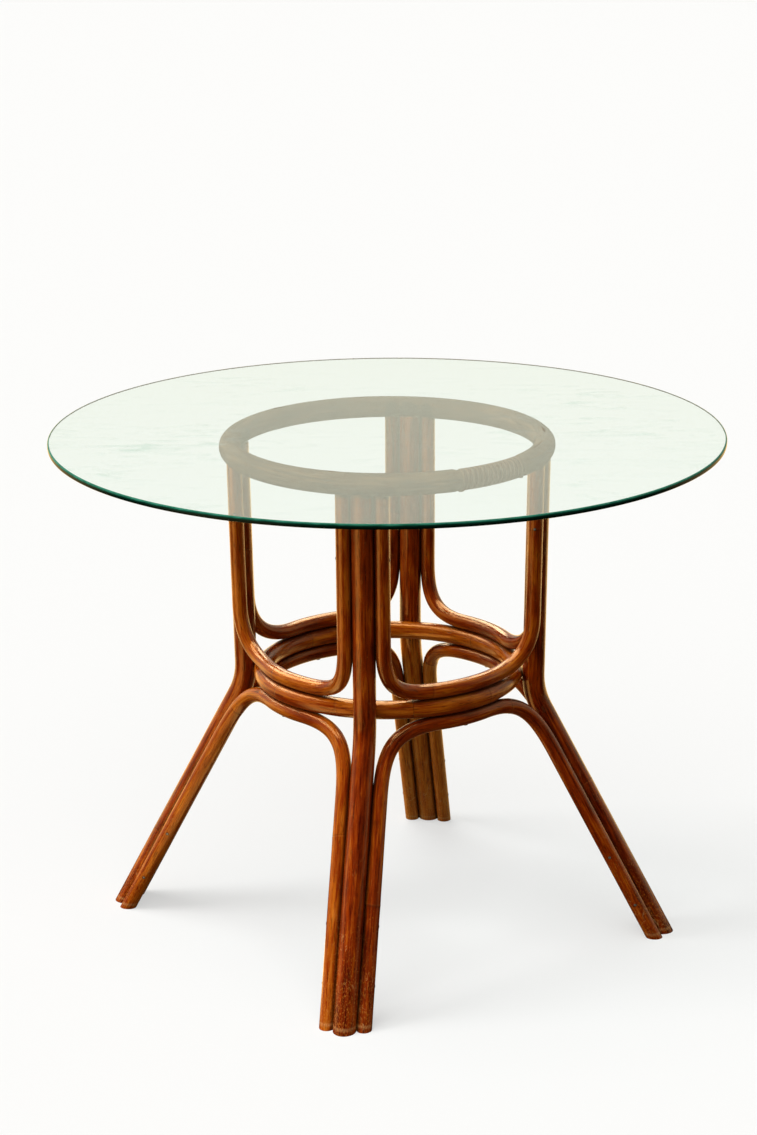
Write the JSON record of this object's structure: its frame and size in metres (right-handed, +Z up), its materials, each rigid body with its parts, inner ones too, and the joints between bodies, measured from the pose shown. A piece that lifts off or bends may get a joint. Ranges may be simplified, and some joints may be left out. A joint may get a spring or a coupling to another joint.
{
  "type": "rattan table",
  "caption": "Round table: a loose clear glass disc resting on a base of bundled, bent rattan poles with splayed legs, a bound top ring, a waist hoop and curved loops between the legs.",
  "frame": {"origin": "on the floor, under the middle of the glass disc", "axes": "+Z up; the legs stand on the diagonals between X and Y; the bound joint of the top ring faces -Y"},
  "size_m": [1, 1, 0.772],
  "materials": {
    "glass": "clear float glass with a faint green tint and a dark green polished edge",
    "ring_rattan": "stained and lacquered rattan cane, satin",
    "leg_rattan": "stained and lacquered rattan cane, glossy, worn towards the feet",
    "loop_rattan": "stained and lacquered rattan cane, glossy",
    "rattan_peel": "lacquered flat rattan peel",
    "nail_steel": "dull bright steel"
  },
  "bodies": {
    "base": {"top_ring": "ring_rattan", "top_ring_binding": "rattan_peel", "middle_hoop": "loop_rattan", "leg_pole_1": "leg_rattan", "leg_pole_2": "leg_rattan", "leg_pole_3": "leg_rattan", "leg_pole_4": "leg_rattan", "upper_loop_1": "loop_rattan", "upper_loop_2": "loop_rattan", "upper_loop_3": "loop_rattan", "upper_loop_4": "loop_rattan", "lower_loop_1": "loop_rattan", "lower_loop_2": "loop_rattan", "lower_loop_3": "loop_rattan", "lower_loop_4": "loop_rattan", "foot_nail_1a1": "nail_steel", "foot_nail_1a2": "nail_steel", "foot_nail_1b1": "nail_steel", "foot_nail_1b2": "nail_steel", "foot_nail_2a1": "nail_steel", "foot_nail_2a2": "nail_steel", "foot_nail_2b1": "nail_steel", "foot_nail_2b2": "nail_steel", "foot_nail_3a1": "nail_steel", "foot_nail_3a2": "nail_steel", "foot_nail_3b1": "nail_steel", "foot_nail_3b2": "nail_steel", "foot_nail_4a1": "nail_steel", "foot_nail_4a2": "nail_steel", "foot_nail_4b1": "nail_steel", "foot_nail_4b2": "nail_steel", "upper_nail_1a": "nail_steel", "upper_nail_1b": "nail_steel", "upper_nail_2a": "nail_steel", "upper_nail_2b": "nail_steel", "upper_nail_3a": "nail_steel", "upper_nail_3b": "nail_steel", "upper_nail_4a": "nail_steel", "upper_nail_4b": "nail_steel", "loop_screw_1": "nail_steel", "loop_screw_2": "nail_steel", "loop_screw_3": "nail_steel", "loop_screw_4": "nail_steel", "ring_pin_1": "nail_steel", "ring_pin_2": "nail_steel", "ring_pin_3": "nail_steel", "ring_pin_4": "nail_steel", "hoop_pin_1": "nail_steel", "hoop_pin_2": "nail_steel", "hoop_pin_3": "nail_steel", "hoop_pin_4": "nail_steel"},
    "glass": {"glass_top": "glass"}
  },
  "joints": [
    {"name": "glass_lift", "type": "slide", "parent": "base", "child": "glass", "axis": [0, 0, 1], "range_m": [0, 0.2]}
  ]
}
